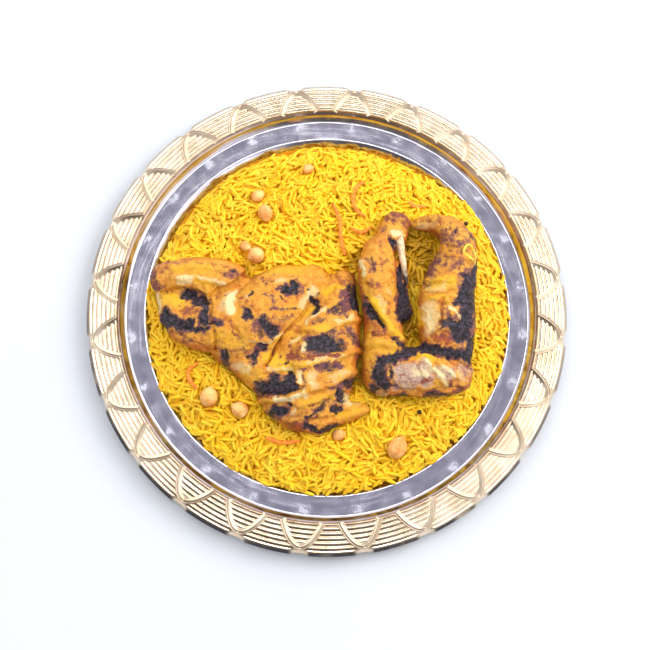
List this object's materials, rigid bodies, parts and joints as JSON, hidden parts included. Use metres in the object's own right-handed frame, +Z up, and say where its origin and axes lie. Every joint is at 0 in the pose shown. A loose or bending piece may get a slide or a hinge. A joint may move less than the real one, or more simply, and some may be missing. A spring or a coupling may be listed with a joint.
{
  "type": "plate of arroz con pollo",
  "caption": "Round stamped metal tray with an embossed rim, filled with yellow long-grain rice, with grilled chicken pieces, chickpeas and carrot shreds laid on top.",
  "frame": {"origin": "on the table, under the middle of the tray", "axes": "+Z up, +X to the diner's right, +Y away from the diner"},
  "size_m": [0.35, 0.35, 0.0457],
  "materials": {
    "tray_steel": "polished stainless steel, lightly scuffed, reflecting the rice at its edge",
    "rim_gold": "pale champagne gold plating, glossy, over stamped ridges and arches",
    "rice": "cooked long-grain rice, saffron yellow, slightly moist",
    "chicken": "grilled chicken skin, golden orange with charred marks, oily gloss",
    "bone": "cooked bone, cream to brown, dull",
    "chickpea": "boiled chickpea, tan, satin skin",
    "carrot": "cooked carrot shred, orange, moist",
    "onion": "fried onion strand, golden, oily",
    "spice": "whole black pepper and clove, dry and wrinkled"
  },
  "bodies": {
    "root": {"platter": "tray_steel", "rice_bed": "rice", "breast": "chicken", "leg": "chicken", "leg_bone": "bone", "chickpea_1": "chickpea", "chickpea_2": "chickpea", "chickpea_3": "chickpea", "chickpea_4": "chickpea", "chickpea_5": "chickpea", "chickpea_6": "chickpea", "chickpea_7": "chickpea", "chickpea_8": "chickpea", "chickpea_9": "chickpea", "carrot_1": "carrot", "carrot_2": "carrot", "carrot_3": "carrot", "carrot_4": "carrot", "carrot_5": "carrot", "carrot_6": "carrot", "onion_strand": "onion"}
  },
  "joints": []
}
